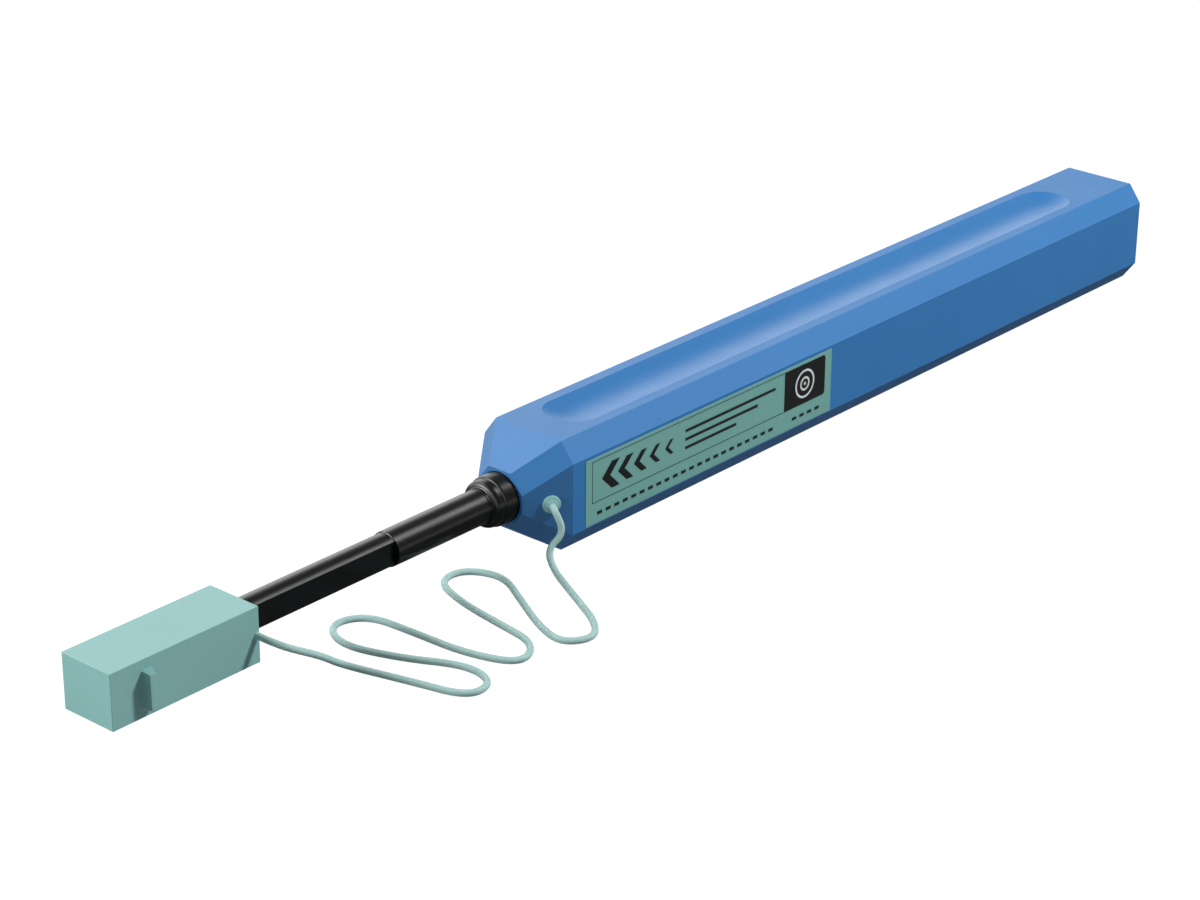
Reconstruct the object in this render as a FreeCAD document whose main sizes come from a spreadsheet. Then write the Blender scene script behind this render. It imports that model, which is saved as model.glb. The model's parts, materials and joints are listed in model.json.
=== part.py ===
"""Fibre connector cleaning pen: an eight-sided moulded housing, a sprung nozzle on a sliding
carriage that winds cleaning thread past its tip, and a cap on a limp tether.

Lengths are in millimetres. The pieces are drawn in the housing's frame: x = 0 where the
prism begins, +X towards the flat back end, the nozzle along -X, the axis at y = z = 0.
Every node's Placement then moves it to the row's frame: the floor under the housing is z = 0
and x = 0 is half-way between the cap's front and the back end.
"""
import FreeCAD, Part
import math
import os
import Sketcher

Vector = FreeCAD.Vector
Rotation = FreeCAD.Rotation
Placement = FreeCAD.Placement

SIZES = [
    # housing
    ("width", 20.0), ("height", 20.0), ("length", 172.8),
    ("flat_top", 14.7), ("flat_side", 12.95),
    ("wall", 1.6), ("nose_length", 7.1), ("nose_lip", 0.45),
    ("roof", 7.2), ("cavity_front", 2.0),
    ("recess_front", 6.0), ("recess_back", 157.6), ("recess_half", 5.3), ("recess_depth", 1.2),
    # end plug and drive rail
    ("plug_thick", 6.0), ("plug_gap", 0.03), ("tower_radius", 5.6),
    ("spigot_reach", 9.0), ("spigot_gap", 0.5),
    ("rail_front", 20.0), ("rail_side", -2.0), ("rail_width", 5.2), ("rail_thick", 1.0),
    ("rack_lead", 8.0), ("rack_length", 28.0), ("rack_side", 4.4), ("rack_width", 2.0),
    # label, tether button
    ("label_front", 3.15), ("label_back", 70.3), ("label_low", -6.25), ("label_high", 5.9),
    ("label_thick", 0.1),
    ("button_x", -3.0), ("button_z", -0.3), ("button_radius", 1.58), ("button_height", 0.9),
    ("button_rim", 0.4), ("button_stem", 0.9), ("button_reach", 2.5),
    # nozzle and collar
    ("tube_radius", 3.06), ("tube_tip", 87.9), ("flat_half", 2.0), ("flat_start", 34.0),
    ("tip_radius", 2.86),
    ("collar_wall", 1.39), ("collar_front", 13.1), ("collar_shoulder", 10.0),
    ("collar_edge", 0.45), ("collar_taper", 0.05), ("collar_round", 0.6), ("slide_gap", 0.1),
    # cap
    ("cap_front", 96.6), ("cap_back", 66.9), ("cap_width", 10.8), ("cap_height", 9.6),
    ("cap_drop", 0.75), ("cap_depth", 23.4), ("fin_front", 90.57), ("fin_back", 88.34),
    ("fin_low", 3.12), ("fin_high", 3.0), ("fin_out", 2.0), ("fin_crest", 1.19), ("fin_root", 0.2),
    # carriage
    ("stroke", 11.0), ("block_front", 3.0), ("block_back", 14.0), ("frame_back", 104.0),
    ("frame_inner", 7.0), ("frame_thick", 1.2), ("frame_half", 5.9), ("block_half", 6.9),
    ("block_rise", 5.5), ("bearing_front", 36.0), ("bearing_back", 39.0),
    ("seat_front", 100.0), ("dowel_radius", 0.8), ("dowel_gap", 0.04), ("axle_radius", 1.0),
    ("window_back", 85.0), ("window_length", 12.0), ("window_half", 3.5), ("running", 0.06),
    # cleaning shaft and cam
    ("shaft_radius", 1.33), ("shaft_wall", 0.63), ("shaft_gap", 0.07), ("tip_back", 87.0),
    ("tip_length", 1.8), ("tip_edge", 0.4),
    ("barrel_front", 16.0), ("barrel_back", 34.0), ("barrel_radius", 4.0),
    ("groove_depth", 1.2), ("groove_gap", 0.12), ("groove_spare", 1.6),
    ("post_x", 31.0), ("post_radius", 0.75), ("post_gap", 0.2),
    # spools
    ("supply_x", 52.0), ("spool_z", -0.75), ("flange_radius", 6.2), ("drum_radius", 2.2),
    ("flange_thick", 0.8), ("supply_half", 6.2), ("supply_roll", 5.2),
    ("takeup_near", -5.4), ("takeup_far", 1.5), ("takeup_roll", 3.4), ("takeup_hub", 3.0),
    ("washer_radius", 3.0), ("washer_thick", 0.5), ("washer_gap", 0.05),
    ("ratchet_teeth", 10), ("ratchet_tip", 4.6), ("ratchet_root", 3.7), ("ratchet_thick", 1.0),
    ("pawl_front", 1.4), ("pawl_length", 11.0), ("pawl_width", 1.1), ("pawl_thick", 0.5),
    ("pawl_tooth", 0.4), ("pawl_lift", 0.25), ("foot_length", 3.0), ("foot_height", 2.4),
    # gears
    ("pinion_x", 78.0), ("pitch_line", -6.0), ("tooth_module", 0.8), ("backlash", 0.16),
    ("pinion_teeth", 12), ("takeup_teeth", 14), ("rack_teeth", 9),
    ("gear_near", 2.0), ("gear_width", 2.0), ("pinion_near", 1.9), ("pinion_width", 4.7),
    ("pinion_hub", 2.4), ("hub_near", -6.4),
    # thread, return spring and tether
    ("thread_radius", 0.16), ("guide_x", 43.0), ("guide_z", 2.0), ("guide_radius", 0.6),
    ("spring_back", 150.0), ("spring_mean", 4.4), ("spring_wire", 0.45), ("spring_coils", 8),
    ("spring_gap", 0.05), ("tether_radius", 0.58), ("tether_sink", 0.15), ("tether_z", -0.76),
    # how far a cutting shape runs past what it cuts
    ("over", 1.0),
]
size = dict(SIZES)

# fits that follow from the sizes above
size["collar_radius"] = size["tube_radius"] + size["collar_wall"]
size["nose_bore"] = size["collar_radius"] + size["slide_gap"]
size["nose_radius"] = size["nose_bore"] + size["nose_lip"]
size["tube_bore"] = size["shaft_radius"] + size["shaft_gap"]
size["shaft_bore"] = size["shaft_radius"] - size["shaft_wall"]
size["dowel_z"] = size["tube_radius"] + size["dowel_gap"] + size["dowel_radius"]

# the outward normal of the housing's chamfers, and the eight-sided mouth that keeps them flat
CHAMFER = Vector((size["height"] - size["flat_side"]) / 2, (size["width"] - size["flat_top"]) / 2, 0)
CHAMFER.normalize()
size["mouth_top"] = size["nose_radius"] * (1 - CHAMFER.y) / CHAMFER.x
size["mouth_side"] = size["nose_radius"] * (1 - CHAMFER.x) / CHAMFER.y

# the gear train: a rack drives the pinion, and the pinion drives the take-up spool
PRESSURE = math.radians(20)
ADDENDUM = 0.95 * size["tooth_module"]
DEDENDUM = 1.25 * size["tooth_module"]
size["rack_pitch"] = math.pi * size["tooth_module"]
size["rack_tip"] = size["pitch_line"] + ADDENDUM
size["rack_root"] = size["pitch_line"] - DEDENDUM
size["tooth_tip"] = (size["rack_pitch"] / 2 - size["backlash"]) / 2 - ADDENDUM * math.tan(PRESSURE)
size["tooth_root"] = (size["rack_pitch"] / 2 - size["backlash"]) / 2 + DEDENDUM * math.tan(PRESSURE)
size["pinion_z"] = size["pitch_line"] + size["tooth_module"] * size["pinion_teeth"] / 2
CENTRES = size["tooth_module"] * (size["pinion_teeth"] + size["takeup_teeth"]) / 2
size["takeup_x"] = size["pinion_x"] - math.sqrt(CENTRES ** 2 - (size["pinion_z"] - size["spool_z"]) ** 2)

doc = FreeCAD.newDocument("cleaning_pen")
sheet = doc.addObject("Spreadsheet::Sheet", "sizes")
for row, (alias, value) in enumerate(size.items(), start=1):
    sheet.set("A%d" % row, alias)
    sheet.set("B%d" % row, str(value))
    sheet.setAlias("B%d" % row, alias)
doc.recompute()

HOME = Placement(Vector((size["cap_front"] - size["length"]) / 2, 0, size["height"] / 2), Rotation())
ALONG_X = Rotation(Vector(0, 1, 0), 90)
ALONG_Y = Rotation(Vector(1, 0, 0), -90)
nodes = []


# ---- helpers ------------------------------------------------------------------------------

def expand(expression):
    """Write a sheet name as sizes.name, so that expressions can use the short names."""
    words = []
    for word in expression.replace("(", " ( ").replace(")", " ) ").split():
        words.append("sizes." + word if word in size else word)
    return " ".join(words)


def bind(thing, **expressions):
    """Bind properties to the sheet; at_x stands for Placement.Base.x, and so on."""
    for name, expression in expressions.items():
        target = name.replace("at_", "Placement.Base.") if name.startswith("at_") else name
        thing.setExpression(target, expand(expression))
    return thing


def new_body(label):
    """One piece as a PartDesign body that sits at HOME."""
    body = doc.addObject("PartDesign::Body", label)
    body.Label = label
    body.Placement = HOME
    nodes.append(body)
    return body


def new_feature(label, shape):
    """One piece whose form is worked out in code."""
    feature = doc.addObject("Part::Feature", label)
    feature.Label = label
    feature.Shape = shape
    feature.Placement = HOME.multiply(shape.Placement)
    nodes.append(feature)
    return feature


def new_sketch(body, name, role, offset="0"):
    """A sketch on one of the body's own planes, moved along the plane's normal."""
    sketch = body.newObject("Sketcher::SketchObject", name)
    planes = [one for one in body.Origin.OriginFeatures if one.Role == role]
    sketch.AttachmentSupport = [(planes[0], "")]
    sketch.MapMode = "FlatFace"
    sketch.setExpression("AttachmentOffset.Base.z", expand(offset))
    return sketch


def pin_point(sketch, edge, end, corner, start):
    """Fix one point of the sketch at a pair of expressions."""
    for kind, expression, value in (("DistanceX", corner[0], start.x), ("DistanceY", corner[1], start.y)):
        index = sketch.addConstraint(Sketcher.Constraint(kind, -1, 1, edge, end, value))
        sketch.setExpression("Constraints[%d]" % index, expand(expression))


def outline(body, name, role, corners, offset="0"):
    """A closed straight-sided outline; each corner is a pair of expressions."""
    sketch = new_sketch(body, name, role, offset)
    count = len(corners)
    ring = [Vector(math.cos(2 * math.pi * i / count), math.sin(2 * math.pi * i / count), 0)
            for i in range(count)]
    for i in range(count):
        sketch.addGeometry(Part.LineSegment(ring[i], ring[(i + 1) % count]), False)
    for i in range(count):
        sketch.addConstraint(Sketcher.Constraint("Coincident", i, 2, (i + 1) % count, 1))
    for i, corner in enumerate(corners):
        pin_point(sketch, i, 1, corner, ring[i])
    return sketch


def pad(body, name, sketch, length, reverse=False):
    feature = body.newObject("PartDesign::Pad", name)
    feature.Profile = sketch
    feature.Reversed = reverse
    return bind(feature, Length=length)


def pocket(body, name, sketch, length, reverse=False):
    feature = body.newObject("PartDesign::Pocket", name)
    feature.Profile = sketch
    feature.Reversed = reverse
    return bind(feature, Length=length)


def cylinder(body, name, radius, length, at, turn=ALONG_X, cut=False):
    """Add or cut a cylinder that starts at the point at, a triple of expressions."""
    kind = "PartDesign::SubtractiveCylinder" if cut else "PartDesign::AdditiveCylinder"
    feature = body.newObject(kind, name)
    feature.Placement = Placement(Vector(), turn)
    return bind(feature, Radius=radius, Height=length, at_x=at[0], at_y=at[1], at_z=at[2])


def box(body, name, length, width, height, at, cut=False):
    """Add or cut a box from its low corner at, with sides along X, Y and Z."""
    kind = "PartDesign::SubtractiveBox" if cut else "PartDesign::AdditiveBox"
    feature = body.newObject(kind, name)
    return bind(feature, Length=length, Width=width, Height=height,
                at_x=at[0], at_y=at[1], at_z=at[2])


def turned(body, name, profile, role="XZ_Plane", axis="H_Axis"):
    """A revolved piece: the profile's corners are (along the axis, radius) expressions."""
    sketch = outline(body, name + "_profile", role, profile)
    feature = body.newObject("PartDesign::Revolution", name)
    feature.Profile = sketch
    feature.ReferenceAxis = (sketch, [axis])
    feature.Angle = 360
    return feature


# ---- housing ------------------------------------------------------------------------------

def octagon(half_y, top, bottom, side_y, side_z):
    """Corners of the eight-sided section, seen along X, as (y, z) expressions."""
    return [(half_y, top), ("-(%s)" % half_y, top), ("-(%s)" % side_y, side_z),
            ("-(%s)" % side_y, "-(%s)" % side_z), ("-(%s)" % half_y, bottom), (half_y, bottom),
            (side_y, "-(%s)" % side_z), (side_y, side_z)]


def inner_octagon(gap):
    """The housing's section moved in by the wall and a gap, under the lower roof."""
    normal_y, normal_z = CHAMFER.x, CHAMFER.y
    inset = size["wall"] + gap
    reach = normal_y * size["flat_top"] / 2 + normal_z * size["height"] / 2 - inset
    side = size["width"] / 2 - inset
    floor = size["height"] / 2 - inset
    roof = size["roof"] - gap
    side_z = (reach - normal_y * side) / normal_z
    floor_y = (reach - normal_z * floor) / normal_y
    roof_y = (reach - normal_z * roof) / normal_y
    corners = [(roof_y, roof), (-roof_y, roof), (-side, side_z), (-side, -side_z),
               (-floor_y, -floor), (floor_y, -floor), (side, -side_z), (side, side_z)]
    return [("%.4f" % y, "%.4f" % z) for y, z in corners]


SECTION = octagon("flat_top / 2", "height / 2", "-( height / 2 )", "width / 2", "flat_side / 2")


def button_place():
    """Where the tether button sits: on the nose's side facet, its local +X facing out."""
    taper = size["width"] / 2 - size["nose_radius"]
    out = Vector(-taper, -size["nose_length"], 0)
    y = -size["width"] / 2 - taper * size["button_x"] / size["nose_length"]
    return Placement(Vector(size["button_x"], y, size["button_z"]), Rotation(Vector(1, 0, 0), out))


def make_housing():
    body = new_body("housing")
    section = outline(body, "section", "YZ_Plane", SECTION)
    pad(body, "prism", section, "length")
    root = outline(body, "nose_root", "YZ_Plane", SECTION)
    rim = outline(body, "nose_rim", "YZ_Plane", octagon(
        "mouth_top", "nose_radius", "-( nose_radius )", "nose_radius", "mouth_side"), "-( nose_length )")
    nose = body.newObject("PartDesign::AdditiveLoft", "nose")
    nose.Profile = root
    nose.Sections = [rim]
    nose.Ruled = True
    doc.recompute()
    solid = body.Shape.Volume
    cavity = outline(body, "cavity_section", "YZ_Plane", inner_octagon(0), "length")
    pocket(body, "cavity", cavity, "length - cavity_front")
    cylinder(body, "bore", "nose_bore", "nose_length + cavity_front + 2 * over",
             ("-( nose_length ) - over", "0", "0"), cut=True)
    # thumb recess: a round trough with ball ends that cuts the top flat
    ball = "( recess_half * recess_half + recess_depth * recess_depth ) / ( 2 * recess_depth )"
    up = "height / 2 - recess_depth + " + ball
    front = "recess_front + recess_half"
    back = "recess_back - recess_half"
    cylinder(body, "trough", ball, "recess_back - recess_front - 2 * recess_half",
             (front, "0", up), cut=True)
    for name, place in (("trough_front", front), ("trough_back", back)):
        end = body.newObject("PartDesign::SubtractiveSphere", name)
        bind(end, Radius=ball, at_x=place, at_z=up)
    hole = body.newObject("PartDesign::SubtractiveCylinder", "button_hole")
    hole.Placement = button_place().multiply(Placement(Vector(-size["button_reach"], 0, 0), ALONG_X))
    bind(hole, Radius="button_stem", Height="button_reach + over")
    doc.recompute()
    print("housing before and after the cuts: %.0f %.0f mm3" % (solid, body.Shape.Volume))
    return body


def make_end_plug():
    """The rear closure, with the tower that the return spring stands on."""
    body = new_body("end_plug")
    plate = outline(body, "plate_section", "YZ_Plane", inner_octagon(size["plug_gap"]), "length")
    pad(body, "plate", plate, "plug_thick", reverse=True)
    cylinder(body, "tower", "tower_radius", "length - over - spring_back", ("spring_back", "0", "0"))
    cylinder(body, "spigot", "spring_mean - spring_wire - spigot_gap", "spigot_reach + over",
             ("spring_back - spigot_reach", "0", "0"))


def make_drive_rail():
    """The rail on the housing's floor: rack teeth for the pinion and the post for the cam."""
    body = new_body("drive_rail")
    floor = "-( height / 2 ) + wall"
    start = "pinion_x - rack_lead"
    box(body, "rail", "length - plug_thick - rail_front - spigot_gap", "rail_width", "rail_thick",
        ("rail_front", "rail_side", floor))
    box(body, "rack_bed", "rack_length", "rack_width", "rack_root - ( " + floor + " )",
        (start, "rack_side", floor))
    box(body, "bridge", "rack_length", "rack_side - rail_side - rail_width + spigot_gap", "rail_thick",
        (start, "rail_side + rail_width - spigot_gap / 2", floor))
    cylinder(body, "post", "post_radius", "height / 2 - wall - barrel_radius + groove_depth - post_gap",
             ("post_x", "0", floor), Rotation())
    middle = "pinion_x - 2 * rack_pitch"
    section = outline(body, "tooth_section", "XZ_Plane", [
        (middle + " - tooth_tip", "rack_tip"), (middle + " + tooth_tip", "rack_tip"),
        (middle + " + tooth_root", "rack_root"), (middle + " - tooth_root", "rack_root")],
        "-( rack_side ) - rack_width")
    first = pad(body, "rack_tooth", section, "rack_width")
    doc.recompute()
    teeth = body.newObject("PartDesign::LinearPattern", "rack_teeth")
    teeth.Originals = [first]
    teeth.Direction = (section, ["H_Axis"])
    bind(teeth, Length="rack_pitch * ( rack_teeth - 1 )", Occurrences="rack_teeth")
    body.Tip = teeth


def make_label():
    """A thin sticker that covers most of the flat side nearest the nozzle."""
    body = new_body("label")
    box(body, "sheet", "label_back - label_front", "label_thick", "label_high - label_low",
        ("label_front", "-( width / 2 ) - label_thick", "label_low"))


def make_tether_button():
    """A domed rivet whose stem is pressed into the nose; the tether leaves its middle."""
    body = new_body("tether_button")
    turned(body, "rivet", [
        ("-( button_reach ) + spring_gap", "0"), ("-( button_reach ) + spring_gap", "button_stem"),
        ("0", "button_stem"), ("0", "button_radius"), ("button_rim", "button_radius"),
        ("button_height - tether_sink", "button_radius - button_rim"),
        ("button_height", "tether_radius + tether_sink"), ("button_height", "0")])
    body.Placement = HOME.multiply(button_place())


# ---- nozzle and its carriage --------------------------------------------------------------

def make_nozzle():
    """The outer tube: full round at its root, then slimmer and with side flats out to the tip."""
    body = new_body("nozzle")
    cylinder(body, "root", "tube_radius", "flat_start + block_back", ("-( flat_start )", "0", "0"))
    cylinder(body, "front", "tip_radius", "tube_tip", ("-( tube_tip )", "0", "0"))
    cylinder(body, "bore", "tube_bore", "tube_tip + block_back + 2 * over",
             ("-( tube_tip ) - over", "0", "0"), cut=True)
    for name, low in (("flat_left", "-( tube_radius ) - over"), ("flat_right", "flat_half")):
        box(body, name, "tube_tip - flat_start + over", "tube_radius - flat_half + over",
            "2 * ( tube_radius + over )", ("-( tube_tip ) - over", low, "-( tube_radius ) - over"), cut=True)


def make_nozzle_collar():
    """The stepped collar that closes the nose's bore and slides in it."""
    body = new_body("nozzle_collar")
    turned(body, "collar", [
        ("block_front", "tube_radius"), ("block_front", "collar_radius"),
        ("-( collar_shoulder )", "collar_radius"),
        ("-( collar_shoulder ) - collar_edge", "collar_radius - collar_edge"),
        ("-( collar_front ) + collar_round", "collar_radius - collar_edge - collar_taper"),
        ("-( collar_front )", "collar_radius - collar_edge - collar_taper - collar_round"),
        ("-( collar_front )", "tube_radius")])


def block(body, name, front, back):
    """A cross block between the frame's two sides, with holes for its dowels."""
    box(body, name, back + " - " + front, "2 * block_half", "2 * block_rise",
        (front, "-( block_half )", "-( block_rise )"))
    for side, rise in (("upper", "dowel_z"), ("lower", "-( dowel_z )")):
        cylinder(body, side + "_dowel_hole", "dowel_radius", "2 * ( block_half + over )",
                 ("( " + front + " + " + back + " ) / 2", "-( block_half ) - over", rise), ALONG_Y, True)


def make_blocks():
    """The carriage's three cross blocks: the nozzle's, the shaft's and the spring's."""
    holder = new_body("nozzle_holder")
    block(holder, "holder", "block_front", "block_back")
    cylinder(holder, "nozzle_seat", "tube_radius", "block_back - block_front + 2 * over",
             ("block_front - over", "0", "0"), cut=True)
    bearing = new_body("shaft_bearing")
    block(bearing, "bearing", "bearing_front", "bearing_back")
    cylinder(bearing, "bush", "shaft_radius + running", "bearing_back - bearing_front + 2 * over",
             ("bearing_front - over", "0", "0"), cut=True)
    seat = new_body("spring_seat")
    block(seat, "seat", "seat_front", "frame_back")
    cylinder(seat, "spigot", "spring_mean - spring_wire - spigot_gap", "spigot_reach",
             ("frame_back - over", "0", "0"))


BLOCK_MIDDLES = ["( block_front + block_back ) / 2", "( bearing_front + bearing_back ) / 2",
                 "( seat_front + frame_back ) / 2"]


def make_frames():
    """The carriage's two side plates, which carry the axles, the pins and the dowels."""
    for label, low in (("frame_left", "-( frame_inner ) - frame_thick"), ("frame_right", "frame_inner")):
        body = new_body(label)
        box(body, "plate", "frame_back - block_front", "frame_thick", "2 * frame_half",
            ("block_front", low, "-( frame_half )"))
        holes = [("supply_x", "spool_z", "axle_radius"), ("takeup_x", "spool_z", "axle_radius"),
                 ("pinion_x", "pinion_z", "axle_radius"), ("guide_x", "guide_z", "guide_radius"),
                 ("guide_x", "-( guide_z )", "guide_radius")]
        for middle in BLOCK_MIDDLES:
            holes += [(middle, "dowel_z", "dowel_radius"), (middle, "-( dowel_z )", "dowel_radius")]
        for index, (x, z, radius) in enumerate(holes):
            cylinder(body, "hole_%d" % index, radius, "frame_thick + 2 * over", (x, low + " - over", z),
                     ALONG_Y, True)
        for window, start, length in (("window_front", "barrel_front", "barrel_back - barrel_front"),
                                      ("window_back", "window_back", "window_length")):
            box(body, window + "_cut", length, "frame_thick + 2 * over", "2 * window_half",
                (start, low + " - over", "-( window_half )"), cut=True)


def make_axles():
    """Plain pins across the carriage."""
    across = "2 * ( frame_inner + frame_thick )"
    low = "-( frame_inner ) - frame_thick"
    for label, x, z in (("supply_axle", "supply_x", "spool_z"), ("takeup_axle", "takeup_x", "spool_z"),
                        ("pinion_axle", "pinion_x", "pinion_z")):
        cylinder(new_body(label), "pin", "axle_radius", across, (x, low, z), ALONG_Y)
    pins = [cross_pin(size["guide_x"], rise * size["guide_z"], size["guide_radius"]) for rise in (1, -1)]
    new_feature("guide_pins", Part.makeCompound(pins))
    middles = [(size["block_front"] + size["block_back"]) / 2,
               (size["bearing_front"] + size["bearing_back"]) / 2,
               (size["seat_front"] + size["frame_back"]) / 2]
    dowels = [cross_pin(x, rise * size["dowel_z"], size["dowel_radius"]) for x in middles for rise in (1, -1)]
    new_feature("frame_dowels", Part.makeCompound(dowels))


def cross_pin(x, z, radius):
    reach = size["frame_inner"] + size["frame_thick"]
    return Part.makeCylinder(radius, 2 * reach, Vector(x, -reach, z), Vector(0, 1, 0))


def make_brake_washer():
    """The washer that keeps the supply spool from running on."""
    body = new_body("brake_washer")
    cylinder(body, "ring", "washer_radius", "washer_thick",
             ("supply_x", "-( frame_inner ) + washer_gap", "spool_z"), ALONG_Y)
    cylinder(body, "hole", "axle_radius + washer_gap", "washer_thick + 2 * over",
             ("supply_x", "-( frame_inner ) - over", "spool_z"), ALONG_Y, True)


def make_return_spring():
    """The long spring between the carriage's seat and the end plug's tower."""
    wire, gap = size["spring_wire"], size["spring_gap"]
    front = size["frame_back"] + wire + gap
    back = size["spring_back"] - wire - gap
    per_turn = 6
    count = int(size["spring_coils"]) * per_turn
    # the corners stand outside the coil, so that the arcs between them lie on its mean radius
    reach = size["spring_mean"] / math.cos(math.pi / per_turn)
    corners = []
    for step in range(count + 1):
        angle = 2 * math.pi * step / per_turn
        x = front + (back - front) * step / count
        corners.append(Vector(x, reach * math.cos(angle), reach * math.sin(angle)))
    new_feature("return_spring", tube_on(corners, wire, "return_spring", 0.49))


# ---- cleaning shaft, cam and thread -------------------------------------------------------

def make_shaft():
    """The hollow shaft that turns inside the nozzle, with the nib that carries the thread."""
    shaft = new_body("cleaning_shaft")
    cylinder(shaft, "tube", "shaft_radius", "tip_back + bearing_back", ("-( tip_back )", "0", "0"))
    cylinder(shaft, "bore", "shaft_bore", "tip_back + bearing_back + 2 * over",
             ("-( tip_back ) - over", "0", "0"), cut=True)
    tip = new_body("cleaning_tip")
    turned(tip, "guide", [
        ("-( tip_back )", "shaft_bore"), ("-( tip_back )", "shaft_radius"),
        ("-( tip_back ) - tip_length + tip_edge", "shaft_radius"),
        ("-( tip_back ) - tip_length", "shaft_radius - tip_edge"),
        ("-( tip_back ) - tip_length", "shaft_bore")])


def make_cam_barrel():
    """The barrel whose helical groove turns the shaft half a turn over the stroke."""
    front, back = size["barrel_front"], size["barrel_back"]
    stroke, spare, over = size["stroke"], size["groove_spare"], size["over"]
    barrel = Part.makeCylinder(size["barrel_radius"], back - front, Vector(front, 0, 0), Vector(1, 0, 0))
    bore = Part.makeCylinder(size["shaft_radius"], back - front + 2 * over, Vector(front - over, 0, 0),
                             Vector(1, 0, 0))
    barrel = barrel.cut(bore)
    # one turn takes twice the stroke; the cutter is as deep as the groove and half of over more
    lead = 2 * stroke
    half_deep = (size["groove_depth"] + over) / 2
    half_wide = size["post_radius"] + size["groove_gap"]
    middle = size["barrel_radius"] - size["groove_depth"] + half_deep
    path = Part.makeHelix(lead, stroke + 2 * spare, middle)
    # the profile stands square to the helix, so the groove is as wide as the post all the way
    slope = math.atan2(lead, 2 * math.pi * middle)
    across = Vector(0, -math.sin(slope), math.cos(slope))
    corners = [Vector(middle + reach * half_deep, 0, 0) + across * (side * half_wide)
               for reach, side in ((-1, -1), (1, -1), (1, 1), (-1, 1))]
    tool = Part.Wire(path).makePipeShell([Part.makePolygon(corners + corners[:1])], True, True)
    tool.rotate(Vector(), Vector(0, 1, 0), 90)
    tool.translate(Vector(size["post_x"] - stroke - spare, 0, 0))
    # the helix begins downwards; turned back by its own run, it opens straight down at the post
    tool.rotate(Vector(), Vector(1, 0, 0), -180 * (stroke + spare) / stroke)
    grooved = barrel.cut(tool)
    print("cam barrel before and after its groove: %.0f %.0f mm3" % (barrel.Volume, grooved.Volume))
    new_feature("cam_barrel", grooved)


def involute(angle):
    return math.tan(angle) - angle


def gear_shape(teeth, width, tooth_at):
    """A spur gear about +Y from y = 0, with involute flanks and a tooth centred on tooth_at."""
    pitch_radius = size["tooth_module"] * teeth / 2
    base = pitch_radius * math.cos(PRESSURE)
    tip, root = pitch_radius + ADDENDUM, pitch_radius - DEDENDUM
    at_base = math.pi / (2 * teeth) - size["backlash"] / (2 * pitch_radius) + involute(PRESSURE)
    flank = [(root, at_base)]
    for part in range(4):
        radius = base + (tip - base) * part / 3
        flank.append((radius, at_base - involute(math.acos(base / radius))))
    corners = []
    for tooth in range(teeth):
        middle = tooth_at + 2 * math.pi * tooth / teeth
        corners += [(radius, middle - half) for radius, half in flank]
        corners += [(radius, middle + half) for radius, half in reversed(flank)]
    points = [Vector(radius * math.cos(angle), 0, radius * math.sin(angle)) for radius, angle in corners]
    face = Part.Face(Part.makePolygon(points + points[:1]))
    return face.extrude(Vector(0, width, 0))


def rod_along_y(radius, low, high):
    return Part.makeCylinder(radius, high - low, Vector(0, low, 0), Vector(0, 1, 0))


def tube_along_y(outer, inner, low, high):
    over = size["over"]
    return rod_along_y(outer, low, high).cut(rod_along_y(inner, low - over, high + over))


def spool_shape(low, high):
    """A drum with two flanges that runs on an axle along Y."""
    bore = size["axle_radius"] + size["running"]
    drum = tube_along_y(size["drum_radius"], bore, low, high)
    thick = size["flange_thick"]
    near = tube_along_y(size["flange_radius"], bore, low, low + thick)
    far = tube_along_y(size["flange_radius"], bore, high - thick, high)
    return drum.fuse([near, far]).removeSplitter()


def put(label, shape, x, z):
    """A piece on an axle: its own origin is on the axle at y = 0."""
    feature = new_feature(label, shape)
    feature.Placement = HOME.multiply(Placement(Vector(x, 0, z), Rotation()))


def ratchet_shape(low, high):
    """A wheel of saw teeth on the take-up spool's outer side."""
    teeth = int(size["ratchet_teeth"])
    steep = 0.06
    points = []
    for tooth in range(teeth):
        angle = 2 * math.pi * tooth / teeth
        for radius, turn in ((size["ratchet_tip"], angle), (size["ratchet_root"], angle + steep)):
            points.append(Vector(radius * math.cos(turn), low, radius * math.sin(turn)))
    return Part.Face(Part.makePolygon(points + points[:1])).extrude(Vector(0, high - low, 0))


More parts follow.
